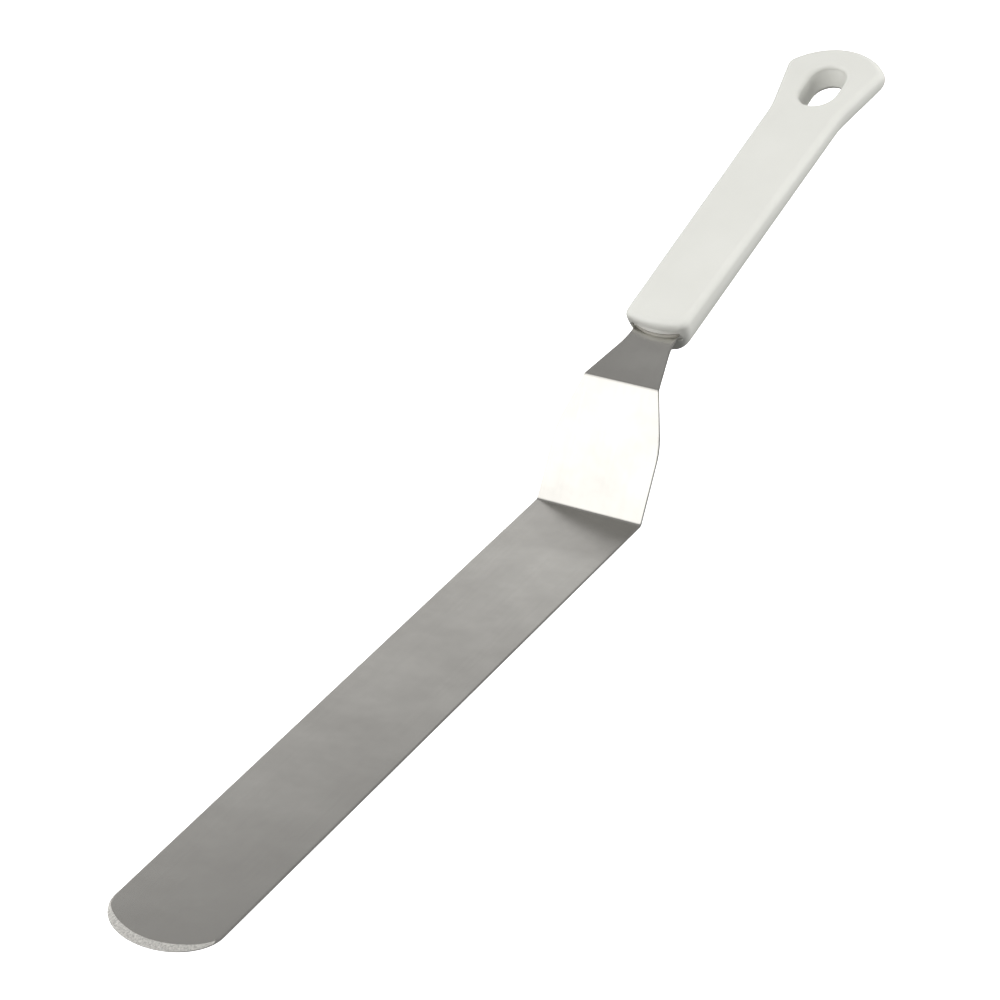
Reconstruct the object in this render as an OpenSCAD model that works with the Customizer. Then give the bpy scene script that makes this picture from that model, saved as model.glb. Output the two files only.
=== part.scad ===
// Offset spatula: a cranked steel blade with its tang, a plastic core moulded round the tang, and an
// outer handle with a flared tail and a hang hole.
// Millimetres. +X runs across the blade, +Y from the tip to the tail, +Z up.
// The origin is the middle of the bounding box at its bottom, so the blade's underside lies on z = 0.

/* [Blade] */
// Width of the blade
blade_w = 38.1; // [30:0.1:45]
// Length of the flat blade, from the tip to the first bend
blade_l = 215.9; // [150:0.1:260]
// Thickness of the steel strip
sheet_t = 0.7; // [0.6:0.05:1]
// Depth of the rounded tip, which is half an ellipse
tip_depth = 12.4; // [8:0.1:19]
// Width of the bevel ground along the tip's top edge
bevel_w = 2.6; // [1:0.1:4]
// Thickness left at the tip's edge
edge_t = 0.3; // [0.2:0.05:0.5]

/* [Crank and neck] */
// Angle of the crank above the blade
crank_angle = 50.7; // [40:0.1:60]
// Length of the crank, between its two bends
crank_l = 41.1; // [36:0.1:50]
// Distance from the first bend to the shoulders where the taper starts
shoulder_l = 23.6; // [18:0.1:28]
// Distance from the second bend to the end of the taper
taper_l = 17.6; // [14:0.1:20]
// Distance from the second bend to the handle's mouth
neck_l = 23; // [22:0.1:30]
// Width of the neck and of the tang
neck_w = 16.1; // [12:0.1:16.5]
// Radius of the strip's mid-line in both bends
bend_r = 1.6; // [1.4:0.1:4]
// Half-length of the blends at the shoulders and at the end of the taper
blend_l = 4; // [1:0.1:5]

/* [Handle] */
// Angle of the handle and neck above the blade
handle_angle = 15.1; // [10:0.1:20]
// Length of the handle, from its mouth to its tail
handle_l = 131; // [126:0.1:134]
// Width of the handle at its mouth
front_w = 22.9; // [22:0.1:25]
// Width of the handle just before its flare
rear_w = 26; // [24:0.1:27]
// Height of the top face above the tang, at the mouth
top_front_h = 5.5; // [5:0.1:6]
// Height of the top face above the tang, at the tail
top_tail_h = 2.5; // [2.2:0.1:3.2]
// Depth of the underside below the tang, at the mouth
under_front_h = 7.4; // [6:0.1:8.4]
// Depth of the underside below the tang, at the tail
under_tail_h = 5.9; // [5:0.1:6.5]
// Distance from the mouth to the start of the flare
flare_start = 100; // [97:0.5:103]
// How much the half-width grows for each millimetre of flare
flare_slope = 0.23; // [0.15:0.01:0.3]
// Radius of the tail's end in plan
tail_r = 22.6; // [20:0.1:23]
// Radius of the top face's edge
top_r = 2.4; // [1.5:0.1:3]
// How far the rounding of the underside reaches in from the sides
under_reach = 7; // [5:0.1:8]
// How far it reaches in from the tail
tail_reach = 5; // [3:0.1:6]
// How far it reaches in from the front face
lip_reach = 0.8; // [0.4:0.1:2]
// How far the front face bulges forward in the middle
front_bulge = 2; // [1:0.1:2.4]
// Radius of the front face's corners in plan
front_corner_r = 3; // [2.6:0.1:4]

/* [Hang hole] */
// Width of the hang hole under its rim on the top face
hole_w = 12.9; // [12:0.1:13.4]
// Length of the hang hole there, along the handle
hole_l = 18.8; // [17:0.1:19.4]
// Width of the hang hole at the underside, which is less because the hole has draft
under_hole_w = 11.6; // [8:0.1:11.8]
// Length of the hang hole at the underside
under_hole_l = 16.4; // [13:0.1:16.8]
// Distance from the middle of the hang hole's top opening to the tail
hole_back = 19.4; // [19:0.1:21]
// How far the middle of its lower opening is in front of that
hole_shift = 0.6; // [0:0.1:1]
// Radius of the rounded rim at both ends of the hang hole
rim_r = 2; // [1:0.1:2.2]

/* [Tang and core] */
// Length of the tang inside the handle
tang_l = 68; // [58:1:72]
// Diameter of the two holes in the tang
tang_hole_d = 6; // [4:0.5:8]
// Width of the core
core_w = 18.6; // [18.2:0.1:19]
// Thickness of the core
core_t = 3.8; // [3.7:0.1:5.2]
// Distance from the mouth to the core's inner end
core_l = 76; // [74:1:80]
// Radius of the core's long edges
core_r = 1.7; // [1:0.1:1.8]
// How far the middle of the core's face is sunk behind the shell's front face
core_sink = 0.5; // [0.3:0.1:1]
// Radius of the core's bulged face in plan
core_face_r = 18.5; // [18:0.5:28]
// Depth of the two waists that lock the core into the shell
waist_depth = 0.8; // [0.4:0.1:0.8]
// Length of each waist
waist_l = 6; // [4:0.5:8]

/* [Hidden] */

$fn = 64;
// Steps in each bend of the strip, in its tip and in each blend of its outline
BEND_STEPS = 8;
TIP_STEPS = 36;
BLEND_STEPS = 6;
// Steps in the handle's front corner, upper edge, underside, long side, flare's start and tail
CORNER_STEPS = 5;
EDGE_STEPS = 5;
UNDER_STEPS = 8;
SIDE_STEPS = 4;
FLARE_STEPS = 4;
TAIL_STEPS = 16;
// Spare length that takes a cutting solid past the surface it cuts
OVER = 1;
// How far the rims of the hang hole run past the surfaces that they blend
RIM_PAST = 0.08;
// Straight length of the hang hole's wall under each rim, before its draft starts
RIM_GAP = 0.5;
// Thickness of a slice that only marks where a hull ends
SLICE = 0.001;
// How far the corners of the handle's outline are rounded, where the flare starts and where the tail does
FLARE_BLEND = 3;
TAIL_BLEND = 1.5;
// Distances from the mouth to the tang's two holes, and to the two waists between them
TANG_HOLES = [18, 52];
WAISTS = [30, 42];

// The mid-line of the strip: each bend's corner, in [y, z] counted from the tip
bend_1 = [blade_l, sheet_t / 2];
bend_2 = bend_1 + crank_l * [cos(crank_angle), sin(crank_angle)];
handle_dir = [cos(handle_angle), sin(handle_angle)];
mouth = bend_2 + neck_l * handle_dir;

// The end of the taper on each side of the strip, as lengths along the strip
strip_shoulder = blade_l + shoulder_l;
strip_neck = blade_l + crank_l + taper_l;
strip_end = blade_l + crank_l + neck_l + tang_l;
taper_slope = (blade_w - neck_w) / 2 / (strip_neck - strip_shoulder);

// A ramp that starts at x = 0, with its corner rounded over f on both sides
function ramp(x, f) = x <= -f ? 0 : x >= f ? x : (x + f) ^ 2 / (4 * f);

// The smaller of a and b, with the corner between them rounded over k
function soft_min(a, b, k) = min(a, b) - max(k - abs(a - b), 0) ^ 2 / (4 * k);

function mirrored(points) = [for (i = [len(points) - 1:-1:0]) [-points[i][0], points[i][1]]];

// Half-width of the strip at a length u from the tip
function strip_half_w(u) =
    blade_w / 2
    - taper_slope * ramp(u - strip_shoulder, blend_l)
    + taper_slope * ramp(u - strip_neck, blend_l);

// Y of the unbent strip's length u, once it is bent
function strip_y(u) =
    u <= blade_l ? u
    : u <= blade_l + crank_l ? blade_l + (u - blade_l) * cos(crank_angle)
    : bend_2[0] + (u - blade_l - crank_l) * handle_dir[0];

// Lengths along the strip where its outline needs a point
strip_stations = concat(
    [for (i = [0:BLEND_STEPS]) strip_shoulder + blend_l * (2 * i / BLEND_STEPS - 1)],
    [blade_l + crank_l],
    [for (i = [0:BLEND_STEPS]) strip_neck + blend_l * (2 * i / BLEND_STEPS - 1)],
    [strip_end]
);

// Half of the tip, from the middle to the side, moved in from the edge by an inset
function tip_half(inset) = [
    for (i = [0:TIP_STEPS])
        let (a = 90 * i / TIP_STEPS)
        [(blade_w / 2 - inset * cos(a)) * sin(a), tip_depth - (tip_depth - inset) * cos(a)]
];

// An arc of the mid-line, given as [y, z, direction] points
function bend_points(corner, a0, a1) =
    let (
        turn = a1 - a0,
        back = bend_r * tan(abs(turn) / 2),
        start = corner - back * [cos(a0), sin(a0)],
        centre = start + bend_r * sign(turn) * [-sin(a0), cos(a0)]
    )
    [
        for (i = [0:BEND_STEPS])
            let (a = a0 + turn * i / BEND_STEPS)
            [each centre + bend_r * sign(turn) * [sin(a), -cos(a)], a]
    ];

mid_line = concat(
    [[0, sheet_t / 2, 0]],
    bend_points(bend_1, 0, crank_angle),
    bend_points(bend_2, crank_angle, handle_angle),
    [[each mouth + tang_l * handle_dir, handle_angle]]
);

// The mid-line moved sideways by d, as [y, z] points
function strip_side(d) = [for (p = mid_line) [p[0] - d * sin(p[2]), p[1] + d * cos(p[2])]];

function reversed(points) = [for (i = [len(points) - 1:-1:0]) points[i]];

// Half-width of the handle at a distance s from the mouth
function handle_half_w(s) =
    let (
        side = front_w / 2 + (rear_w - front_w) / 2 * min(s / flare_start, 1)
            + flare_slope * ramp(s - flare_start, FLARE_BLEND),
        past_centre = s - (handle_l - tail_r)
    )
    past_centre <= 0 ? side
        : soft_min(side, sqrt(max(tail_r ^ 2 - past_centre ^ 2, 0)), TAIL_BLEND);

// Height of the top face, and depth of the underside, at a distance s from the mouth
function top_h(s) = top_front_h + (top_tail_h - top_front_h) * s / handle_l;
function under_h(s) = under_front_h + (under_tail_h - under_front_h) * s / handle_l;

// Radius of the front face in plan, from its bulge
front_face_r = (front_w / 2) ^ 2 / (2 * front_bulge);
function front_s(x) = x ^ 2 / (2 * front_face_r) - front_bulge;
front_flat = front_w / 2 - front_corner_r;

// Where the front and the tail start to draw in, and where the tail's arc starts, from the mouth
front_zone = 6;
tail_zone = handle_l - 18;
tail_start = handle_l - 13;
hole_at = handle_l - hole_back;

function between(a, b, steps) = [for (i = [1:steps]) a + (b - a) * i / steps];

side_stations = concat(
    [front_zone],
    between(front_zone, flare_start - FLARE_BLEND, SIDE_STEPS),
    between(flare_start - FLARE_BLEND, flare_start + FLARE_BLEND, FLARE_STEPS),
    between(flare_start + FLARE_BLEND, tail_zone, 3),
    between(tail_zone, tail_start, 2)
);

// The right half of the handle in plan, from the middle of its front to the middle of its tail
half_plan = concat(
    [for (i = [0:CORNER_STEPS]) let (x = front_flat * i / CORNER_STEPS) [x, front_s(x)]],
    [
        for (i = [1:CORNER_STEPS])
            let (a = 90 * i / CORNER_STEPS)
            [
                front_flat + front_corner_r * sin(a),
                front_s(front_flat) + front_corner_r * (1 - cos(a))
            ]
    ],
    [for (s = side_stations) [handle_half_w(s), s]],
    [
        for (i = [1:TAIL_STEPS])
            let (s = handle_l - (handle_l - tail_start) * (cos(90 * i / TAIL_STEPS)) ^ 2)
            [handle_half_w(s), s]
    ]
);
half_n = len(half_plan);
plan = concat(half_plan, [for (i = [half_n - 2:-1:1]) [-half_plan[i][0], half_plan[i][1]]]);
plan_n = len(plan);

// How much a length shrinks when one end of it draws in by r as the edge turns
function shrink(length, r, turn) = 1 - r * (1 - cos(turn)) / length;

// A point p of the plan, moved to where the edge has turned to: 0 is the widest line, 90 the top and
// -90 the underside
function skin_point(p, turn) =
    let (
        side_reach = turn > 0 ? top_r : under_reach,
        front_scale = shrink(front_zone + front_bulge, turn > 0 ? top_r : lip_reach, turn),
        tail_scale = shrink(handle_l - tail_zone, turn > 0 ? top_r : tail_reach, turn),
        s = p[1] < front_zone ? front_zone + (p[1] - front_zone) * front_scale
            : p[1] > tail_zone ? tail_zone + (p[1] - tail_zone) * tail_scale
            : p[1],
        widest_h = top_h(s) - top_r,
        drop = turn > 0 ? top_r : widest_h + under_h(s)
    )
    [
        p[0] * shrink(handle_half_w(min(p[1], tail_zone)), side_reach, turn),
        s,
        widest_h + drop * sin(turn)
    ];

edge_turns = concat(
    [for (i = [UNDER_STEPS:-1:1]) -90 * i / UNDER_STEPS],
    [for (i = [0:EDGE_STEPS]) 90 * i / EDGE_STEPS]
);

// The furthest point of the tail ends the bounding box, and the tip is as far on the other side of y = 0
tail_points = [for (turn = edge_turns) skin_point([0, handle_l], turn)];
tail_end_y = mouth[0] + max([for (p = tail_points) p[1] * handle_dir[0] - p[2] * handle_dir[1]]);
tip_y = -tail_end_y / 2;

// Draws its children in the handle's frame: origin at the mouth, +Y along the handle
module in_handle_frame() {
    translate([0, tip_y + mouth[0], mouth[1]])
        rotate([handle_angle, 0, 0])
            children();
}

// A round-ended slot shape, long in Y
module slot_2d(w, l) {
    square([w, l - w], center = true);
    translate([0, (l - w) / 2]) circle(d = w);
    translate([0, -(l - w) / 2]) circle(d = w);
}

module rounded_rect_2d(w, h, r) {
    square([w - 2 * r, h], center = true);
    square([w, h - 2 * r], center = true);
    for (x = [-1, 1], y = [-1, 1])
        translate([x * (w / 2 - r), y * (h / 2 - r)]) circle(r = r);
}

// The strip's outline seen from above
module strip_plan_2d() {
    right = concat(tip_half(0), [for (u = strip_stations) [strip_half_w(u), strip_y(u)]]);
    polygon(concat(right, mirrored(right)));
}

// The strip's side profile, drawn in [y, z]
module strip_profile_2d() {
    polygon(concat(strip_side(-sheet_t / 2), reversed(strip_side(sheet_t / 2))));
}

// What the grinding wheel takes off along the tip's top edge
module tip_grind() {
    low = concat(tip_half(0), mirrored(tip_half(0)));
    high = concat(tip_half(bevel_w), mirrored(tip_half(bevel_w)));
    difference() {
        translate([-blade_w, -OVER, edge_t]) cube([2 * blade_w, tip_depth + OVER, sheet_t]);
        hull() {
            translate([0, 0, edge_t]) linear_extrude(SLICE) polygon(low);
            translate([0, 0, sheet_t]) linear_extrude(SLICE) polygon(high);
        }
    }
}

// The bent strip with its tang's holes, before its tip is ground
module bent_strip() {
    difference() {
        translate([0, tip_y, 0])
            intersection() {
                rotate([90, 0, 90])
                    translate([0, 0, -blade_w])
                        linear_extrude(2 * blade_w) strip_profile_2d();
                translate([0, 0, -OVER])
                    linear_extrude(mouth[1] + tang_l) strip_plan_2d();
            }
        in_handle_frame() tang_holes();
    }
}

module tang_holes() {
    for (s = TANG_HOLES)
        translate([0, s, -core_t])
            cylinder(d = tang_hole_d, h = 2 * core_t);
}

module blade() {
    color("#a9a6a1")
        difference() {
            bent_strip();
            translate([0, tip_y, 0]) tip_grind();
        }
}

// The outer form of the core, which is also the form of the space in the shell
module core_form() {
    difference() {
        translate([0, core_l, 0])
            rotate([90, 0, 0])
                linear_extrude(core_l + front_bulge + OVER) rounded_rect_2d(core_w, core_t, core_r);
        for (s = WAISTS, x = [-1, 1])
            translate([x * core_w / 2, s, 0])
                cube([2 * waist_depth, waist_l, core_t + OVER], center = true);
    }
}

// Everything in front of the core's bulged face
module before_core_face() {
    difference() {
        translate([-blade_w / 2, -2 * front_bulge - OVER, -core_t])
            cube([blade_w, 3 * front_bulge + OVER, 2 * core_t]);
        translate([0, core_face_r - front_bulge + core_sink, -core_t - OVER])
            cylinder(r = core_face_r, h = 2 * (core_t + OVER));
    }
}

module tang_core() {
    color("#c9c9c4")
        difference() {
            in_handle_frame()
                difference() {
                    core_form();
                    before_core_face();
                }
            bent_strip();
        }
}

module handle_skin() {
    rings = [for (turn = edge_turns) [for (p = plan) skin_point(p, turn)]];
    layers = len(rings);
    last = (layers - 1) * plan_n;
    walls = [
        for (k = [0:layers - 2], i = [0:plan_n - 1])
            let (
                a = k * plan_n + i,
                b = k * plan_n + (i + 1) % plan_n
            )
            [a, a + plan_n, b + plan_n, b]
    ];
    pairs = [for (i = [1:half_n - 3]) [i, i + 1, plan_n - i - 1, plan_n - i]];
    ends = [[0, 1, plan_n - 1], [half_n - 2, half_n - 1, half_n]];
    caps = concat(pairs, ends);
    polyhedron(
        points = [for (ring = rings) each ring],
        faces = concat(walls, caps, [for (f = caps) [for (v = reversed(f)) last + v]])
    );
}

// The hang hole: a straight wall under each rim, and a drafted wall between them
module hang_hole() {
    high = top_h(hole_at) - rim_r - RIM_GAP;
    low = -under_h(hole_at) + rim_r + RIM_GAP;
    translate([0, 0, high]) linear_extrude(under_front_h) slot_2d(hole_w, hole_l);
    hull() {
        translate([0, 0, high]) linear_extrude(SLICE) slot_2d(hole_w, hole_l);
        translate([0, -hole_shift, low - SLICE])
            linear_extrude(SLICE) slot_2d(under_hole_w, under_hole_l);
    }
    translate([0, -hole_shift, low - under_front_h])
        linear_extrude(under_front_h) slot_2d(under_hole_w, under_hole_l);
    translate([0, 0, top_h(hole_at)])
        rotate([atan((top_tail_h - top_front_h) / handle_l), 0, 0])
            rim_cut(hole_w, hole_l);
    mirror([0, 0, 1])
        translate([0, -hole_shift, under_h(hole_at - hole_shift)])
            rotate([atan((under_tail_h - under_front_h) / handle_l), 0, 0])
                rim_cut(under_hole_w, under_hole_l);
}

// The quarter-round profile cut from the rim of a hole w wide, with x counted from the middle of the
// hole. Both ends of the arc run a little past the surfaces, so that they cross them at a clear angle.
module rim_profile_2d(w) {
    arc_x = w / 2 + rim_r - RIM_PAST;
    arc_y = RIM_PAST - rim_r;
    difference() {
        translate([w / 2 - OVER, arc_y])
            square([arc_x - w / 2 + OVER, OVER - arc_y]);
        translate([arc_x, arc_y]) circle(r = rim_r);
    }
}

module rim_cut(w, l) {
    straight = l - w;
    for (side = [-1, 1]) {
        translate([0, side * straight / 2, 0])
            rotate([0, 0, side < 0 ? 180 : 0])
                rotate_extrude(angle = 180) rim_profile_2d(w);
        rotate([0, 0, side < 0 ? 180 : 0])
            translate([0, straight / 2, 0])
                rotate([90, 0, 0])
                    linear_extrude(straight) rim_profile_2d(w);
    }
}

module handle_shell() {
    color("#e6e6e2")
        in_handle_frame()
            difference() {
                handle_skin();
                core_form();
                translate([0, hole_at, 0]) hang_hole();
            }
}

blade();
tang_core();
handle_shell();
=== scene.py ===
import math

import bmesh
import bpy
from mathutils import Matrix, Vector


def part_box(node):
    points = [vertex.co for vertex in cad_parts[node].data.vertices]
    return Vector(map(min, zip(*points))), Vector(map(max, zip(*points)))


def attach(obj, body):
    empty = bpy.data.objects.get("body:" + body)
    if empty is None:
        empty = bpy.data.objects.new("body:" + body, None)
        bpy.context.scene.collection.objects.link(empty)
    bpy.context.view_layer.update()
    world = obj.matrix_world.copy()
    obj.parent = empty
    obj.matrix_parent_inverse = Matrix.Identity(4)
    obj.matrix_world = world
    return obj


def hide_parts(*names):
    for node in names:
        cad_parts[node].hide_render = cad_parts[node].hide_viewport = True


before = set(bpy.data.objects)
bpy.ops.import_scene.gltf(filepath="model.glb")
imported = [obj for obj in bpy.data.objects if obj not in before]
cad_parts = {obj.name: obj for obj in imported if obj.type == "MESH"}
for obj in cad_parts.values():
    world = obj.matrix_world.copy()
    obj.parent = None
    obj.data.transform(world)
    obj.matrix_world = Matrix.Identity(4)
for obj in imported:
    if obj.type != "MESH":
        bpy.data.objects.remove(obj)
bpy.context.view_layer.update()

# Millimetres and degrees in the CAD frame, unless a comment says metres. MM turns the first into metres.
MM = 0.001

# Blade, crank and neck: one strip of steel
BLADE_W = 38.1
BLADE_L = 215.9
SHEET_T = 0.7
TIP_DEPTH = 12.4
BEVEL_W = 2.6
EDGE_T = 0.3
CRANK_ANGLE = 50.7
CRANK_L = 41.1
SHOULDER_L = 23.6
TAPER_L = 17.6
NECK_L = 23.0
NECK_W = 16.1
BEND_R = 1.6
BLEND_L = 4.0
TANG_L = 68.0
EDGE_R = 0.07
# Where the middle of the edge's rounding is, as a share of its radius
EDGE_MIDDLE = 0.3
# Angles round the tip, in radians, over which the side's edge and its rounding take over from the bevel
EDGE_RISE = (math.radians(62.0), math.radians(88.0))
ROUNDING_RISE = (1.0, 1.5)
# How much of the tip's quarter turn the bevel takes on each side
BEVEL_SHARE = 0.85

# Handle
HANDLE_ANGLE = 15.1
HANDLE_L = 131.0
FRONT_W = 22.9
REAR_W = 26.0
TOP_FRONT_H = 5.5
TOP_TAIL_H = 2.5
UNDER_FRONT_H = 7.4
UNDER_TAIL_H = 5.9
FLARE_START = 100.0
FLARE_SLOPE = 0.23
FLARE_BLEND = 3.0
TAIL_R = 22.6
TAIL_BLEND = 1.5
TOP_R = 2.4
UNDER_REACH = 7.0
TAIL_REACH = 5.0
LIP_REACH = 0.8
FRONT_BULGE = 2.0
FRONT_CORNER_R = 3.0
FRONT_ZONE = 6.0
TAIL_ZONE = HANDLE_L - 18.0
TAIL_START = HANDLE_L - 13.0

# Hang hole: the upper opening is 0.5 nearer the tail than the CAD's, and the lower one is where the
# CAD's is
HOLE_AT = HANDLE_L - 18.9
HOLE_SHIFT = 1.1
UPPER_HOLE = (12.9, 18.8)
LOWER_HOLE = (11.6, 16.4)
RIM_R = 2.0

# Core, seen only at the mouth
CORE_W = 18.6
CORE_T = 3.8
CORE_L = 76.0
CORE_R = 1.7
# Shallower than the CAD's 0.5, because the neck mirrors a deeper recess as a dark line
CORE_SINK = 0.12
CORE_FACE_R = 18.5
CORE_EDGE_R = 0.25
MOUTH_EDGE_R = 0.4
SLOT_GAP = 0.08
SLOT_LIP = 0.04
SLOT_DEPTH = 2.5
MIN_CORNER_R = 0.05

# Mesh steps of the strip, from its tip to the end of its tang
TIP_STEPS = 48
FLAT_STEPS = 16
BEND_STEPS = 10
LOWER_CRANK_STEPS = 4
BLEND_STEPS = 8
UPPER_CRANK_STEPS = 3
TAPER_STEPS = 3
TANG_STEPS = 8
STRIP_COLUMNS = 8

# Mesh steps of the handle: up its skin, round its plan, and at its hole and mouth
UNDER_STEPS = 18
TOP_STEPS = 8
FRONT_STEPS = 6
CORNER_STEPS = 8
SIDE_STEPS = 16
FLARE_STEPS = 8
FLARE_SIDE_STEPS = 14
TAIL_STEPS = 32
CAP_COLUMNS = 24
RIM_STEPS = 8
MOUTH_CORNER_STEPS = 4
MOUTH_EDGE_STEPS = 4
CORE_ROWS = 4

# The skin's columns on each side of its middle, and its rows of rings, that the mouth takes the place of
MOUTH_COLUMNS = FRONT_STEPS + 3
MOUTH_RINGS = (UNDER_STEPS - 8, UNDER_STEPS)

# Distance from a rounded edge to the line that keeps the flat face beside it flat
SUPPORT = 0.5
# Distance from the hole's upper rim to the flat face's last full row
HOLE_MARGIN = 2.0

STRIP_UV = "across_and_along"
# UV squares a metre, so that the whole strip fits in one
UV_SCALE = 2.0

# Colours, linear
STEEL_LIGHT = (0.69, 0.675, 0.635)
STEEL_DARK = (0.52, 0.505, 0.474)
GROUND_LIGHT = (0.95, 0.93, 0.88)
GROUND_DARK = (0.5, 0.49, 0.46)
HANDLE_LIGHT = (0.735, 0.735, 0.69)
HANDLE_DARK = (0.705, 0.705, 0.66)
# Painted light: the core's plastic is lighter than the shell's so that its face, shaded in the recess,
# looks lit from the front
CORE_PAINTED_LIT_LIGHT = (0.88, 0.87, 0.83)
CORE_PAINTED_LIT_DARK = (0.85, 0.84, 0.80)
FLOOR_LIGHT = (0.93, 0.93, 0.93)
FLOOR_DARK = (0.91, 0.91, 0.91)
WHITE = (1.0, 1.0, 1.0, 1.0)

# Noises: scale, detail, roughness, and stretch along X, Y and Z
EVEN = (1, 1, 1)
BRUSHING = (900.0, 4.0, 0.6, (1, 0.02, 0.02))
# Painted reflection: soft streaks across the strip in the steel's colour, standing in for smeared
# reflections of the surroundings
REFLECTION_STREAKS = (16.0, 3.0, 0.5, (0.45, 1.6, 1.0))
STEEL_MOTTLE = (60.0, 5.0, 0.6, (0.8, 1.3, 1.0))
GRINDING = (1500.0, 3.0, 0.7, EVEN)
PLASTIC_MOTTLE = (45.0, 4.0, 0.55, EVEN)
PLASTIC_GRAIN = (2200.0, 2.0, 0.5, EVEN)
FLOOR_GRAIN = (40.0, 2.0, 0.5, EVEN)
# The part of a noise's range that runs from a material's dark colour to its light one
NOISE_SPAN = (0.3, 0.7)
# How much of the steel's tone each of its noises gives. The streaks' share is painted reflection.
REFLECTION_STREAKS_SHARE = 0.5
BRUSHING_SHARE = 0.1
MOTTLE_SHARE = 0.4

# Finishes: a pair is the roughness at the dark colour and at the light one
STEEL_ROUGHNESS = (0.25, 0.2)
GROUND_ROUGHNESS = (0.5, 0.38)
CORE_ROUGHNESS = (0.46, 0.38)
HANDLE_ROUGHNESS = (0.4, 0.32)
FLOOR_ROUGHNESS = 0.9
STEEL_ANISOTROPY = 0.3
GROUND_METALLIC = 0.7
PLASTIC_IOR = 1.49
FLOOR_GLOW = 1.0
# Bumps: strength, and depth in metres
BRUSHING_BUMP = (0.06, 0.00001)
GRINDING_BUMP = (0.4, 0.00002)
WAVINESS_BUMP = (0.08, 0.0002)
GRAIN_BUMP = (0.10, 0.00001)

# Stage, in metres
FLOOR_SIZE = 3.0
FLOOR_Z = -0.0002
DOME_R = 8.0
DOME_STEPS = (48, 24)

# Camera, in millimetres, apart from its clip distances in metres
CAMERA_SENSOR = 36.0
CAMERA_CLIP = (0.05, 20.0)
CAMERA_LENS = 113.732
CAMERA_AT = (499.172, -611.547, 533.799)
CAMERA_FORWARD = (-0.540558, 0.640788, -0.545149)
CAMERA_RIGHT = (0.813555, 0.563196, -0.144703)

# The point that the lights face, in metres
LIGHT_AIM = Vector((0.0, 0.03, 0.02))
# Lights: name, direction from the aim, distance and size in metres, power in watts, and if it is mirrored
LIGHTS = (
    ("overhead", (0.1, -0.28, 0.92), 1.4, 0.85, 11.0, False),
    ("left_front", (-0.51, -0.70, 0.50), 1.2, 1.3, 5.3, True),
    ("right", (1.0, 0.8, 0.28), 1.2, 0.6, 10.6, False),
)
# The world's light on its -X side and on its +X side: sine of the height above the horizon, and level
WORLD_LEFT = (
    (-1.0, 0.05), (-0.06, 0.08), (0.04, 0.8), (0.575, 0.86),
    (0.65, 0.0), (0.74, 0.49), (0.82, 0.31), (1.0, 0.34),
)
WORLD_RIGHT = (
    (-1.0, 0.3), (-0.06, 0.35), (0.04, 0.3), (0.3, 0.13),
    (0.6, 0.13), (0.8, 0.3), (1.0, 0.37),
)
# X of the direction where the first starts to give way to the second, and where it has
WORLD_FADE = (-0.1, 0.3)


# ---------------------------------------------------------------- shared shapes

def ramp(x, f):
    """0 below -f, x above f, and a smooth curve between them."""
    if x <= -f:
        return 0.0
    return x if x >= f else (x + f) ** 2 / (4 * f)


def soft_min(a, b, k):
    """The lower of the two, with a smooth corner where they are within k of each other."""
    return min(a, b) - max(k - abs(a - b), 0.0) ** 2 / (4 * k)


def rise(x, span):
    """0 before the span, 1 after it, and a smooth curve over it."""
    share = min(max((x - span[0]) / (span[1] - span[0]), 0.0), 1.0)
    return share * share * (3 - 2 * share)


def spread(a, b, steps):
    """Values after a, up to and with b."""
    return [a + (b - a) * i / steps for i in range(1, steps + 1)]


def in_stages(start, stages):
    """Values after the start, up to and with each stage's end, in that stage's number of steps."""
    values = []
    for end, steps in stages:
        values += spread(start, end, steps)
        start = end
    return values


def turned(length, angle):
    """The two parts of a length that is turned from the first axis by an angle."""
    return (length * math.cos(math.radians(angle)), length * math.sin(math.radians(angle)))


BEND_1 = (BLADE_L, SHEET_T / 2)
BEND_2 = tuple(a + b for a, b in zip(BEND_1, turned(CRANK_L, CRANK_ANGLE)))
MOUTH = tuple(a + b for a, b in zip(BEND_2, turned(NECK_L, HANDLE_ANGLE)))
TIP_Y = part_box("blade")[0].y / MM


def in_row(point):
    """A point of the handle's own frame, taken to the row frame."""
    x, s, n = point
    dy, dz = turned(1.0, HANDLE_ANGLE)
    return (x, TIP_Y + MOUTH[0] + s * dy - n * dz, MOUTH[1] + s * dz + n * dy)


def turn_outwards(mesh):
    work = bmesh.new()
    work.from_mesh(mesh)
    bmesh.ops.recalc_face_normals(work, faces=work.faces)
    work.to_mesh(mesh)
    work.free()


def build(name, verts, faces, material, sharp_loops=()):
    """A mesh object from millimetre points, smooth apart from the edges of its sharp loops."""
    mesh = bpy.data.meshes.new(name)
    mesh.from_pydata([Vector(v) * MM for v in verts], [], faces)
    turn_outwards(mesh)
    mesh.polygons.foreach_set("use_smooth", [True] * len(mesh.polygons))
    wanted = {frozenset(pair) for loop in sharp_loops for pair in zip(loop, loop[1:])}
    for edge in mesh.edges:
        edge.use_edge_sharp = frozenset(edge.vertices) in wanted
    mesh.materials.append(material)
    piece = bpy.data.objects.new(name, mesh)
    bpy.context.scene.collection.objects.link(piece)
    weighted = piece.modifiers.new("Weighted normals", "WEIGHTED_NORMAL")
    weighted.keep_sharp = True
    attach(piece, "root")
    return piece


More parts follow.
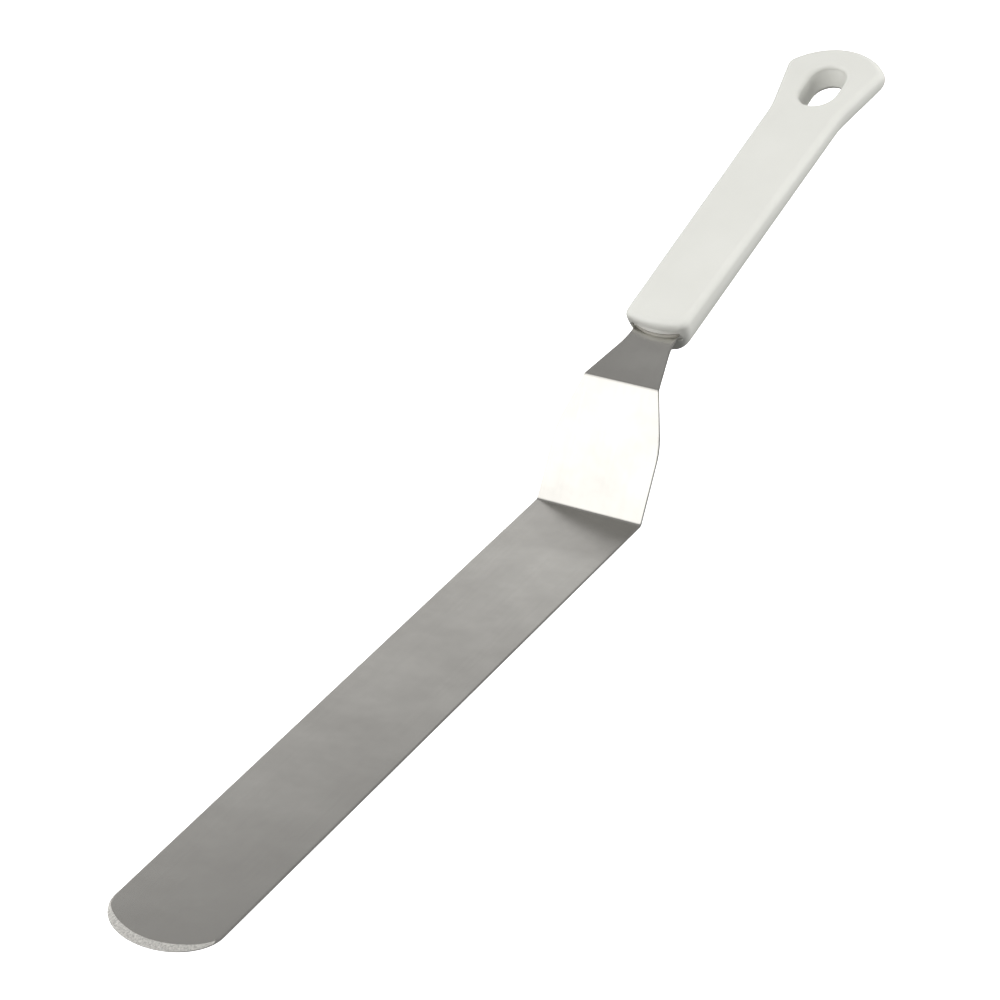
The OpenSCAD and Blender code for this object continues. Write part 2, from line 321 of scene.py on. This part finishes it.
class Shape:
    """Points and faces collected for one mesh."""

    def __init__(self):
        self.verts = []
        self.faces = []

    def loop(self, points):
        """Adds the points and gives their numbers."""
        first = len(self.verts)
        self.verts.extend(points)
        return list(range(first, first + len(points)))

    def face(self, corners):
        """Adds a face, without corners that repeat, if three or more are left."""
        kept = [c for i, c in enumerate(corners) if c != corners[i - 1]]
        if len(kept) > 2:
            self.faces.append(kept)

    def band(self, a, b):
        """Quads between two loops of the same length."""
        for i in range(len(a)):
            j = (i + 1) % len(a)
            self.face([a[i], a[j], b[j], b[i]])

    def bands(self, loops):
        for a, b in zip(loops, loops[1:]):
            self.band(a, b)

    def fill(self, ring, last, columns, upward=True):
        """Fills a ring across with quads, up to a row, and gives the line round what is left open."""
        n = len(ring)
        rows = [[ring[0]] * (columns + 1)]
        for i in range(1, last + 1):
            left, right = self.verts[ring[n - i]], self.verts[ring[i]]
            inner = [
                tuple(a + (b - a) * k / columns for a, b in zip(left, right))
                for k in range(1, columns)
            ]
            rows.append([ring[n - i]] + self.loop(inner) + [ring[i]])
        for low, high in zip(rows, rows[1:]):
            for k in range(columns):
                quad = [low[k], low[k + 1], high[k + 1], high[k]]
                self.face(quad if upward else quad[::-1])
        return ring[last:n - last + 1] + rows[-1][1:-1]


# ---------------------------------------------------------------- steel strip

def strip_half_w(u):
    """Half the strip's width at a length along it from the tip's end."""
    shoulder = BLADE_L + SHOULDER_L
    neck = BLADE_L + CRANK_L + TAPER_L
    slope = (BLADE_W - NECK_W) / 2 / (neck - shoulder)
    return BLADE_W / 2 - slope * ramp(u - shoulder, BLEND_L) + slope * ramp(u - neck, BLEND_L)


def bend_reach(turn):
    """Distance from a bend's corner to the start and end of its arc."""
    return BEND_R * math.tan(math.radians(turn) / 2)


def strip_point(x, u, n):
    """The point at x across, u along and n above the middle of the bent strip."""
    base, base_u, angle = (0.0, SHEET_T / 2), 0.0, 0.0
    for corner, at, before, after in (
        (BEND_1, BLADE_L, 0.0, CRANK_ANGLE),
        (BEND_2, BLADE_L + CRANK_L, CRANK_ANGLE, HANDLE_ANGLE),
    ):
        back = bend_reach(abs(after - before))
        if u >= at + back:
            base, base_u, angle = corner, at, after
        elif u > at - back:
            return bend_point(x, n, corner, back, (u - at + back) / (2 * back), before, after)
    dy, dz = turned(u - base_u, angle)
    ny, nz = turned(n, angle + 90)
    return (x, TIP_Y + base[0] + dy + ny, base[1] + dz + nz)


def bend_point(x, n, corner, back, share, before, after):
    """The point at x across, a share of the way round a bend and n above the middle of the strip."""
    side = 1 if after > before else -1
    start = [c - d for c, d in zip(corner, turned(back, before))]
    centre = [c + d for c, d in zip(start, turned(side * BEND_R, before + 90))]
    angle = before + (after - before) * share
    dy, dz = turned(n - side * BEND_R, angle + 90)
    return (x, TIP_Y + centre[0] + dy, centre[1] + dz)


def strip_stations():
    """Lengths along the strip, behind the tip's ellipse, where the mesh has a row."""
    back = bend_reach(CRANK_ANGLE)
    back_2 = bend_reach(CRANK_ANGLE - HANDLE_ANGLE)
    shoulder = BLADE_L + SHOULDER_L
    bend_2 = BLADE_L + CRANK_L
    neck = bend_2 + TAPER_L
    return in_stages(TIP_DEPTH, (
        (BLADE_L - back, FLAT_STEPS),
        (BLADE_L + back, BEND_STEPS),
        (shoulder - BLEND_L, LOWER_CRANK_STEPS),
        (shoulder + BLEND_L, BLEND_STEPS),
        (bend_2 - back_2, UPPER_CRANK_STEPS),
        (bend_2 + back_2, BEND_STEPS),
        (neck - BLEND_L, TAPER_STEPS),
        (neck + BLEND_L, BLEND_STEPS),
        (bend_2 + NECK_L + TANG_L, TANG_STEPS),
    ))


def strip_loop(inset, bevel, height):
    """One line round the strip's outline, moved in by an inset, and at the tip by a bevel too."""
    half = []
    for i in range(TIP_STEPS + 1):
        a = math.pi / 2 * i / TIP_STEPS
        x = (BLADE_W / 2 - inset - bevel * math.cos(a) ** 2) * math.sin(a)
        u = TIP_DEPTH - (TIP_DEPTH - inset - bevel) * math.cos(a)
        half.append((x, u, height(a)))
    stations = strip_stations()
    end = stations[-1] - inset
    half += [(strip_half_w(u) - inset, min(u, end), height(math.pi / 2)) for u in stations]
    left = [(-x, u, n) for x, u, n in reversed(half[1:])]
    return [strip_point(*p) for p in half + left]


def edge_height(a):
    """Height of the upper corner of the edge: low at the ground tip, near the top on the sides."""
    return -SHEET_T / 2 + EDGE_T + (SHEET_T - EDGE_R - EDGE_T) * rise(a, EDGE_RISE)


def edge_lines():
    """Lines from the underside round the edge to the top, each as strip_loop takes it."""
    half_t = SHEET_T / 2
    bevel = BEVEL_W - EDGE_R
    middle = EDGE_R * EDGE_MIDDLE
    return (
        (SUPPORT, 0.0, lambda a: -half_t),
        (EDGE_R, 0.0, lambda a: -half_t),
        (middle, 0.0, lambda a: -half_t + middle),
        (0.0, 0.0, lambda a: -half_t + EDGE_R),
        (0.0, 0.0, edge_height),
        (middle, 0.0, lambda a: edge_height(a) + (EDGE_R - middle) * rise(a, ROUNDING_RISE)),
        (EDGE_R, bevel, lambda a: half_t),
        (SUPPORT, bevel, lambda a: half_t),
    )


def strip_shape():
    """The strip's shape, the slice of its faces that is ground on the tip, and its sharp lines."""
    shape = Shape()
    loops = [shape.loop(strip_loop(*line)) for line in edge_lines()]
    front, ridge, inner = loops[-3:]
    shape.bands(loops[:-2])
    n = len(front)
    quads = [[front[i], front[(i + 1) % n], ridge[(i + 1) % n], ridge[i]] for i in range(n)]
    tip = int(TIP_STEPS * BEVEL_SHARE)
    first = len(shape.faces)
    for quad in quads[:tip] + quads[-tip:]:
        shape.face(quad)
    ground = slice(first, len(shape.faces))
    for quad in quads[tip:-tip]:
        shape.face(quad)
    shape.band(ridge, inner)
    shape.fill(loops[0], n // 2, STRIP_COLUMNS, upward=False)
    shape.fill(inner, n // 2, STRIP_COLUMNS)
    return shape, ground, [line[-tip:] + line[:tip + 1] for line in (ridge, front)]


def add_strip_uv(mesh):
    """U runs across the strip and V along it, for the direction of the brushing."""
    layer = mesh.uv_layers.new(name=STRIP_UV)
    for loop in mesh.loops:
        place = mesh.vertices[loop.vertex_index].co
        layer.data[loop.index].uv = (0.5 + place.x * UV_SCALE, 0.5 + place.y * UV_SCALE)


def make_blade(face_material, bevel_material):
    """The whole strip: satin steel, with the ground bevel on its tip."""
    shape, ground, sharp = strip_shape()
    piece = build("blade_strip", shape.verts, shape.faces, face_material, sharp)
    piece.data.materials.append(bevel_material)
    for polygon in piece.data.polygons[ground]:
        polygon.material_index = 1
    add_strip_uv(piece.data)
    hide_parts("blade")


# ---------------------------------------------------------------- handle

def handle_half_w(s):
    """Half the handle's width at a distance from its mouth."""
    side = FRONT_W / 2 + (REAR_W - FRONT_W) / 2 * min(s / FLARE_START, 1.0)
    side += FLARE_SLOPE * ramp(s - FLARE_START, FLARE_BLEND)
    past = s - (HANDLE_L - TAIL_R)
    if past <= 0:
        return side
    return soft_min(side, math.sqrt(max(TAIL_R ** 2 - past ** 2, 0.0)), TAIL_BLEND)


def top_h(s):
    """Height of the top face above the tang."""
    return TOP_FRONT_H + (TOP_TAIL_H - TOP_FRONT_H) * s / HANDLE_L


def under_h(s):
    """Depth of the underside below the tang."""
    return UNDER_FRONT_H + (UNDER_TAIL_H - UNDER_FRONT_H) * s / HANDLE_L


FRONT_FACE_R = (FRONT_W / 2) ** 2 / (2 * FRONT_BULGE)


def front_s(x):
    """Where the bulged front face is, at x across."""
    return x * x / (2 * FRONT_FACE_R) - FRONT_BULGE


def shrink(length, reach, turn):
    """How much of a length is left where its rounded edge, with that reach, has turned to an angle."""
    return 1 - reach * (1 - math.cos(math.radians(turn))) / length


def skin_point(p, turn):
    """A point of the plan, moved to where the skin has turned to: 90 is the top, -90 the underside."""
    upper = turn > 0
    front = shrink(FRONT_ZONE + FRONT_BULGE, TOP_R if upper else LIP_REACH, turn)
    tail = shrink(HANDLE_L - TAIL_ZONE, TOP_R if upper else TAIL_REACH, turn)
    s = p[1]
    if s < FRONT_ZONE:
        s = FRONT_ZONE + (s - FRONT_ZONE) * front
    elif s > TAIL_ZONE:
        s = TAIL_ZONE + (s - TAIL_ZONE) * tail
    widest = top_h(s) - TOP_R
    drop = TOP_R if upper else widest + under_h(s)
    side = shrink(handle_half_w(min(p[1], TAIL_ZONE)), TOP_R if upper else UNDER_REACH, turn)
    return (p[0] * side, s, widest + drop * math.sin(math.radians(turn)))


def half_plan():
    """The right half of the handle's outline, from the middle of its front to that of its tail."""
    flat = FRONT_W / 2 - FRONT_CORNER_R
    points = [(x, front_s(x)) for x in [0.0] + spread(0.0, flat, FRONT_STEPS)]
    for a in spread(0.0, 90.0, CORNER_STEPS):
        dx, ds = turned(FRONT_CORNER_R, a - 90)
        points.append((flat + dx, front_s(flat) + FRONT_CORNER_R + ds))
    stations = [FRONT_ZONE] + in_stages(FRONT_ZONE, (
        (FLARE_START - FLARE_BLEND, SIDE_STEPS),
        (FLARE_START + FLARE_BLEND, FLARE_STEPS),
        (TAIL_START, FLARE_SIDE_STEPS),
    ))
    points += [(handle_half_w(s), s) for s in stations]
    for i in range(1, TAIL_STEPS + 1):
        s = HANDLE_L - (HANDLE_L - TAIL_START) * math.cos(math.pi / 2 * i / TAIL_STEPS) ** 2
        points.append((handle_half_w(s), s))
    return points


def slot_point(direction, size, offset):
    """Where a ray from a slot's middle meets its outline, moved outwards by an offset."""
    dx, ds = direction
    width, length = size
    r = width / 2 + offset
    half_straight = (length - width) / 2
    if abs(ds) * r <= half_straight * abs(dx):
        return (math.copysign(r, dx), ds * r / abs(dx))
    centre = math.copysign(half_straight, ds)
    t = ds * centre + math.sqrt((ds * centre) ** 2 - centre ** 2 + r ** 2)
    return (dx * t, ds * t)


def rect_loop(half_w, half_h, r, nx, ny, nc):
    """A rounded rectangle from its lower left corner's middle: nx, ny and nc are its steps."""
    corners = ((1, -1, -90), (1, 1, 0), (-1, 1, 90), (-1, -1, 180))
    points = []
    for cx, cy, a0 in corners:
        for i in range(nc + 1):
            dx, dy = turned(r, a0 + 90 * i / nc)
            points.append((cx * (half_w - r) + dx, cy * (half_h - r) + dy))
        steps = nx if cx == cy else ny
        sx, sy = points[-1]
        ex, ey = (-sx, sy) if cx == cy else (sx, -sy)
        points += [(sx + (ex - sx) * i / steps, sy + (ey - sy) * i / steps) for i in range(1, steps)]
    shift = nx - 1 + nc // 2
    return points[-shift:] + points[:-shift]


def front_skin_s(x, n):
    """Where the handle's front face is, at x across and n above the middle of the tang."""
    widest = top_h(0) - TOP_R
    sine = min(max((widest - n) / (widest + under_h(0)), 0.0), 1.0)
    turn = -math.degrees(math.asin(sine))
    x = abs(x) / shrink(handle_half_w(0), UNDER_REACH, turn)
    flat = FRONT_W / 2 - FRONT_CORNER_R
    s = front_s(min(x, flat))
    if x > flat:
        s += FRONT_CORNER_R - math.sqrt(max(FRONT_CORNER_R ** 2 - (x - flat) ** 2, 0.0))
    return FRONT_ZONE + (s - FRONT_ZONE) * shrink(FRONT_ZONE + FRONT_BULGE, LIP_REACH, turn)


def hole_loops(shape, directions, size, middle, surface_n, sign):
    """Lines from a flat face over the rim and down to the wall of the hang hole."""
    loops = []
    for i in range(-1, RIM_STEPS + 1):
        a = math.pi / 2 * max(i, 0) / RIM_STEPS
        offset = RIM_R * (1 - math.sin(a)) + (SUPPORT if i < 0 else 0.0)
        drop = RIM_R * (1 - math.cos(a))
        points = []
        for direction in directions:
            x, ds = slot_point(direction, size, offset)
            s = middle + ds
            points.append((x, s, surface_n(s) - sign * drop))
        loops.append(shape.loop(points))
    return loops


def add_hole(shape, top, under):
    """The hang hole, from the line left open in the top face to the one in the underside."""
    directions = []
    for v in top:
        x, s, _ = shape.verts[v]
        reach = math.hypot(x, s - HOLE_AT)
        directions.append((x / reach, (s - HOLE_AT) / reach))
    lower_at = HOLE_AT - HOLE_SHIFT
    upper = hole_loops(shape, directions, UPPER_HOLE, HOLE_AT, top_h, 1)
    lower = hole_loops(shape, directions, LOWER_HOLE, lower_at, lambda s: -under_h(s), -1)
    shape.bands([top] + upper + lower[::-1] + [under])


def add_skin(shape, rings):
    """Faces between the rings, apart from those that the mouth takes the place of."""
    n = len(rings[0])
    k_low, k_high = MOUTH_RINGS
    for k, (low, high) in enumerate(zip(rings, rings[1:])):
        for i in range(n):
            in_middle = i < MOUTH_COLUMNS or i >= n - MOUTH_COLUMNS
            if not (in_middle and k_low <= k < k_high):
                shape.face([low[i], low[(i + 1) % n], high[(i + 1) % n], high[i]])


def mouth_outline(rings):
    """The line round the faces that add_skin leaves out."""
    n = len(rings[0])
    k_low, k_high = MOUTH_RINGS
    across = range(-MOUTH_COLUMNS, MOUTH_COLUMNS + 1)
    outline = [rings[k_low][j % n] for j in across]
    outline += [rings[k][MOUTH_COLUMNS] for k in range(k_low + 1, k_high)]
    outline += [rings[k_high][j % n] for j in reversed(across)]
    outline += [rings[k][-MOUTH_COLUMNS] for k in range(k_high - 1, k_low, -1)]
    return outline


def add_mouth(shape, rings):
    """The mouth: from the front face round its small edge radius, and back to the core's inner end."""
    nx = 2 * MOUTH_COLUMNS - MOUTH_CORNER_STEPS
    ny = MOUTH_RINGS[1] - MOUTH_RINGS[0] - MOUTH_CORNER_STEPS
    loops = [mouth_outline(rings)]
    for i in range(MOUTH_EDGE_STEPS + 1):
        a = math.pi / 2 * i / MOUTH_EDGE_STEPS
        grow = MOUTH_EDGE_R * (1 - math.sin(a))
        sink = MOUTH_EDGE_R * (1 - math.cos(a))
        size = (CORE_W / 2 + grow, CORE_T / 2 + grow, CORE_R + grow)
        line = rect_loop(*size, nx, ny, MOUTH_CORNER_STEPS)
        loops.append(shape.loop([(x, front_skin_s(x, h) + sink, h) for x, h in line]))
    loops.append(shape.loop([(shape.verts[v][0], CORE_L, shape.verts[v][2]) for v in loops[-1]]))
    shape.bands(loops)
    shape.face(loops[-1])


def make_shell(material):
    """The white outer handle, with its hang hole and the mouth that the core fills."""
    shape = Shape()
    half = half_plan()
    plan = half + [(-x, s) for x, s in reversed(half[1:-1])]
    turns = [-90.0] + in_stages(-90.0, ((0.0, UNDER_STEPS), (90.0, TOP_STEPS)))
    rings = [shape.loop([skin_point(p, turn) for p in plan]) for turn in turns]
    add_skin(shape, rings)
    add_mouth(shape, rings)
    cap_end = HOLE_AT - UPPER_HOLE[1] / 2 - RIM_R - HOLE_MARGIN
    last = next(i for i, p in enumerate(half) if p[1] > cap_end)
    under = shape.fill(rings[0], last, CAP_COLUMNS)
    top = shape.fill(rings[-1], last, CAP_COLUMNS)
    add_hole(shape, top, under)
    verts = [in_row(v) for v in shape.verts]
    piece = build("handle_outer", verts, shape.faces, material)
    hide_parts("handle_shell")


# ---------------------------------------------------------------- core

def core_face_s(x):
    """Where the core's sunk face is, at x across."""
    return CORE_SINK - FRONT_BULGE + x * x / (2 * CORE_FACE_R)


def core_line(shape, size, grow, s_of):
    """A rounded rectangle given by half its sides and its radius, grown, at the depth that s_of gives."""
    half_w, half_h, r = size
    r = max(r + grow, MIN_CORNER_R)
    steps = (2 * FRONT_STEPS, CORE_ROWS, MOUTH_CORNER_STEPS)
    points = rect_loop(half_w + grow, half_h + grow, r, *steps)
    return shape.loop([(x, s_of(x), h) for x, h in points])


def make_core(material):
    """The core: its sunk face with the neck's slot, and the plain block behind it."""
    shape = Shape()
    block = (CORE_W / 2, CORE_T / 2, CORE_R)
    slot = (NECK_W / 2, SHEET_T / 2, SHEET_T / 2)
    loops = [core_line(shape, block, 0.0, lambda x: CORE_L)]
    for i in range(MOUTH_EDGE_STEPS + 1):
        a = math.pi / 2 * (1 - i / MOUTH_EDGE_STEPS)
        sink = CORE_EDGE_R * (1 - math.cos(a))
        grow = CORE_EDGE_R * (math.sin(a) - 1)
        loops.append(core_line(shape, block, grow, lambda x: core_face_s(x) + sink))
    loops.append(core_line(shape, slot, SLOT_GAP + SLOT_LIP, core_face_s))
    loops.append(core_line(shape, slot, SLOT_GAP, lambda x: core_face_s(x) + SLOT_LIP))
    loops.append(core_line(shape, slot, SLOT_GAP, lambda x: core_face_s(x) + SLOT_DEPTH))
    shape.bands(loops)
    shape.face(loops[0])
    shape.face(loops[-1])
    verts = [in_row(v) for v in shape.verts]
    piece = build("core_block", verts, shape.faces, material)
    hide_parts("tang_core")


# ---------------------------------------------------------------- materials

class Nodes:
    """A few short ways to add and link nodes in one material."""

    def __init__(self, name):
        self.material = bpy.data.materials.new(name)
        self.material.use_nodes = True
        self.tree = self.material.node_tree
        self.tree.nodes.clear()
        self.output = self.tree.nodes.new("ShaderNodeOutputMaterial")
        self.shader = self.tree.nodes.new("ShaderNodeBsdfPrincipled")
        self.link(self.shader.outputs["BSDF"], self.output.inputs["Surface"])
        self.place = self.tree.nodes.new("ShaderNodeTexCoord").outputs["Object"]

    def link(self, source, target):
        self.tree.links.new(source, target)

    def noise(self, scale, detail, roughness, stretch):
        mapping = self.tree.nodes.new("ShaderNodeMapping")
        mapping.inputs["Scale"].default_value = stretch
        texture = self.tree.nodes.new("ShaderNodeTexNoise")
        texture.inputs["Scale"].default_value = scale
        texture.inputs["Detail"].default_value = detail
        texture.inputs["Roughness"].default_value = roughness
        self.link(self.place, mapping.inputs["Vector"])
        self.link(mapping.outputs["Vector"], texture.inputs["Vector"])
        return texture.outputs["Fac"]

    def calc(self, operation, a, b):
        """The result of a sum or product of two values, where each is a number or an output."""
        node = self.tree.nodes.new("ShaderNodeMath")
        node.operation = operation
        for socket, value in zip(node.inputs, (a, b)):
            if isinstance(value, float):
                socket.default_value = value
            else:
                self.link(value, socket)
        return node.outputs["Value"]

    def remap(self, noise, to_low, to_high):
        """Goes from one value to another while a noise crosses the span of it that is used."""
        node = self.tree.nodes.new("ShaderNodeMapRange")
        numbers = (*NOISE_SPAN, to_low, to_high)
        for name, number in zip(("From Min", "From Max", "To Min", "To Max"), numbers):
            node.inputs[name].default_value = number
        self.link(noise, node.inputs["Value"])
        return node.outputs["Result"]

    def mix(self, share, a, b):
        node = self.tree.nodes.new("ShaderNodeMix")
        node.data_type = "RGBA"
        self.link(share, node.inputs["Factor"])
        sockets = [i for i in node.inputs if i.type == "RGBA"]
        for socket, colour in zip(sockets, (a, b)):
            socket.default_value = (*colour, 1.0)
        return next(o for o in node.outputs if o.type == "RGBA")

    def finish(self, noise, dark, light, roughness):
        """Base colour and roughness that both follow one noise."""
        share = self.remap(noise, 0.0, 1.0)
        self.link(self.mix(share, dark, light), self.shader.inputs["Base Color"])
        self.link(self.remap(noise, *roughness), self.shader.inputs["Roughness"])

    def bump(self, height, strength, distance):
        node = self.tree.nodes.new("ShaderNodeBump")
        node.inputs["Strength"].default_value = strength
        node.inputs["Distance"].default_value = distance
        self.link(height, node.inputs["Height"])
        return node


def steel():
    """Satin stainless steel, with fine lines along the strip, and soft streaks across it that are painted
    reflection.
    """
    nodes = Nodes("satin_steel")
    lines = nodes.noise(*BRUSHING)
    # Painted reflection: these streaks lighten and darken the steel's colour as a smeared reflection
    # would
    reflection_streaks = nodes.noise(*REFLECTION_STREAKS)
    mottle = nodes.noise(*STEEL_MOTTLE)
    reflection_streaks = nodes.calc("MULTIPLY", reflection_streaks, REFLECTION_STREAKS_SHARE)
    tone = nodes.calc("ADD", reflection_streaks, nodes.calc("MULTIPLY", lines, BRUSHING_SHARE))
    tone = nodes.calc("ADD", tone, nodes.calc("MULTIPLY", mottle, MOTTLE_SHARE))
    nodes.finish(tone, STEEL_DARK, STEEL_LIGHT, STEEL_ROUGHNESS)
    nodes.shader.inputs["Metallic"].default_value = 1.0
    nodes.shader.inputs["Anisotropic"].default_value = STEEL_ANISOTROPY
    across = nodes.tree.nodes.new("ShaderNodeTangent")
    across.direction_type = "UV_MAP"
    across.uv_map = STRIP_UV
    nodes.link(across.outputs["Tangent"], nodes.shader.inputs["Tangent"])
    bump = nodes.bump(lines, *BRUSHING_BUMP)
    nodes.link(bump.outputs["Normal"], nodes.shader.inputs["Normal"])
    return nodes.material


def ground_steel():
    """The bevel ground on the tip: rougher and lighter than the satin face."""
    nodes = Nodes("ground_steel")
    marks = nodes.noise(*GRINDING)
    nodes.finish(marks, GROUND_DARK, GROUND_LIGHT, GROUND_ROUGHNESS)
    nodes.shader.inputs["Metallic"].default_value = GROUND_METALLIC
    bump = nodes.bump(marks, *GRINDING_BUMP)
    nodes.link(bump.outputs["Normal"], nodes.shader.inputs["Normal"])
    return nodes.material


def plastic(name, light, dark, roughness):
    """Satin moulded plastic, with a faint mottle, a slight waviness and a fine moulded grain."""
    nodes = Nodes(name)
    mottle = nodes.noise(*PLASTIC_MOTTLE)
    grain = nodes.noise(*PLASTIC_GRAIN)
    nodes.finish(mottle, dark, light, roughness)
    nodes.shader.inputs["IOR"].default_value = PLASTIC_IOR
    waviness = nodes.bump(mottle, *WAVINESS_BUMP)
    fine = nodes.bump(grain, *GRAIN_BUMP)
    nodes.link(waviness.outputs["Normal"], fine.inputs["Normal"])
    nodes.link(fine.outputs["Normal"], nodes.shader.inputs["Normal"])
    return nodes.material


# ---------------------------------------------------------------- camera, light and floor

def add_camera():
    """The photo's camera."""
    data = bpy.data.cameras.new("camera")
    data.sensor_width = CAMERA_SENSOR
    data.lens = CAMERA_LENS
    data.clip_start, data.clip_end = CAMERA_CLIP
    camera = bpy.data.objects.new("camera", data)
    forward = Vector(CAMERA_FORWARD).normalized()
    right = Vector(CAMERA_RIGHT).normalized()
    up = right.cross(forward)
    turn = Matrix((right, up, -forward)).transposed()
    camera.matrix_world = Matrix.Translation(Vector(CAMERA_AT) * MM) @ turn.to_4x4()
    bpy.context.scene.collection.objects.link(camera)
    bpy.context.scene.camera = camera


def add_light(name, direction, distance, size, power, mirrored):
    """A square softbox that faces the middle of the part from one direction."""
    data = bpy.data.lights.new(name, "AREA")
    data.shape = "SQUARE"
    data.size = size
    data.energy = power
    light = bpy.data.objects.new(name, data)
    light.visible_glossy = mirrored
    towards = Vector(direction).normalized()
    light.location = LIGHT_AIM + towards * distance
    light.rotation_euler = (-towards).to_track_quat("-Z", "Y").to_euler()
    bpy.context.scene.collection.objects.link(light)


def level_ramp(tree, height, steps):
    """The world's light on one side, as a smooth curve of the height above the horizon."""
    node = tree.nodes.new("ShaderNodeValToRGB")
    node.color_ramp.interpolation = "EASE"
    elements = node.color_ramp.elements
    while len(elements) < len(steps):
        elements.new(0.5)
    for element, (sine, level) in zip(elements, steps):
        element.position = (sine + 1) / 2
        element.color = (level, level, level, 1.0)
    tree.links.new(height, node.inputs["Fac"])
    return node.outputs["Color"]


def world_share(tree, source, low, high):
    """0 where one part of the direction is low, and 1 where it is high."""
    node = tree.nodes.new("ShaderNodeMapRange")
    node.inputs["From Min"].default_value = low
    node.inputs["From Max"].default_value = high
    tree.links.new(source, node.inputs["Value"])
    return node.outputs["Result"]


def add_world():
    """A studio that is bright low on its -X side, and darker below, overhead and on the other side."""
    world = bpy.data.worlds.new("studio")
    bpy.context.scene.world = world
    world.use_nodes = True
    tree = world.node_tree
    place = tree.nodes.new("ShaderNodeTexCoord")
    split = tree.nodes.new("ShaderNodeSeparateXYZ")
    tree.links.new(place.outputs["Generated"], split.inputs["Vector"])
    height = world_share(tree, split.outputs["Z"], -1.0, 1.0)
    fade = world_share(tree, split.outputs["X"], *WORLD_FADE)
    mix = tree.nodes.new("ShaderNodeMix")
    mix.data_type = "RGBA"
    tree.links.new(fade, mix.inputs["Factor"])
    sides = [i for i in mix.inputs if i.type == "RGBA"]
    for steps, side in zip((WORLD_LEFT, WORLD_RIGHT), sides):
        tree.links.new(level_ramp(tree, height, steps), side)
    background = next(n for n in tree.nodes if n.type == "BACKGROUND")
    blend = next(o for o in mix.outputs if o.type == "RGBA")
    tree.links.new(blend, background.inputs["Color"])


def glowing(name, sampling):
    """A plain pale material that glows. Its sampling says whether the renderer may treat it as a lamp."""
    nodes = Nodes(name)
    grain = nodes.noise(*FLOOR_GRAIN)
    nodes.link(nodes.mix(grain, FLOOR_DARK, FLOOR_LIGHT), nodes.shader.inputs["Base Color"])
    nodes.shader.inputs["Roughness"].default_value = FLOOR_ROUGHNESS
    nodes.shader.inputs["Emission Color"].default_value = WHITE
    nodes.shader.inputs["Emission Strength"].default_value = FLOOR_GLOW
    nodes.material.cycles.emission_sampling = sampling
    return nodes.material


def add_stage(name, work, material):
    """Adds a mesh to the stage, where the part neither mirrors it nor is lit by it."""
    mesh = bpy.data.meshes.new(name)
    work.to_mesh(mesh)
    work.free()
    mesh.materials.append(material)
    piece = bpy.data.objects.new(name, mesh)
    bpy.context.scene.collection.objects.link(piece)
    piece.visible_diffuse = False
    piece.visible_glossy = False
    return piece


def add_floor():
    """A plain pale sheet just under the part, inside a plain pale dome."""
    sheet = bmesh.new()
    bmesh.ops.create_grid(sheet, size=FLOOR_SIZE, matrix=Matrix.Translation((0, 0, FLOOR_Z)))
    add_stage("floor", sheet, glowing("pale_floor", "AUTO"))
    dome = bmesh.new()
    around, up = DOME_STEPS
    bmesh.ops.create_uvsphere(dome, u_segments=around, v_segments=up, radius=DOME_R)
    backdrop = add_stage("backdrop", dome, glowing("pale_backdrop", "NONE"))
    backdrop.visible_shadow = False


def main():
    add_camera()
    add_world()
    add_floor()
    for light in LIGHTS:
        add_light(*light)
    bpy.context.scene.view_settings.view_transform = "Standard"
    make_blade(steel(), ground_steel())
    # The core's material is a painted-light copy of the white plastic, lighter than the shell's
    make_core(plastic("core_plastic", CORE_PAINTED_LIT_LIGHT, CORE_PAINTED_LIT_DARK, CORE_ROUGHNESS))
    make_shell(plastic("handle_plastic", HANDLE_LIGHT, HANDLE_DARK, HANDLE_ROUGHNESS))


main()
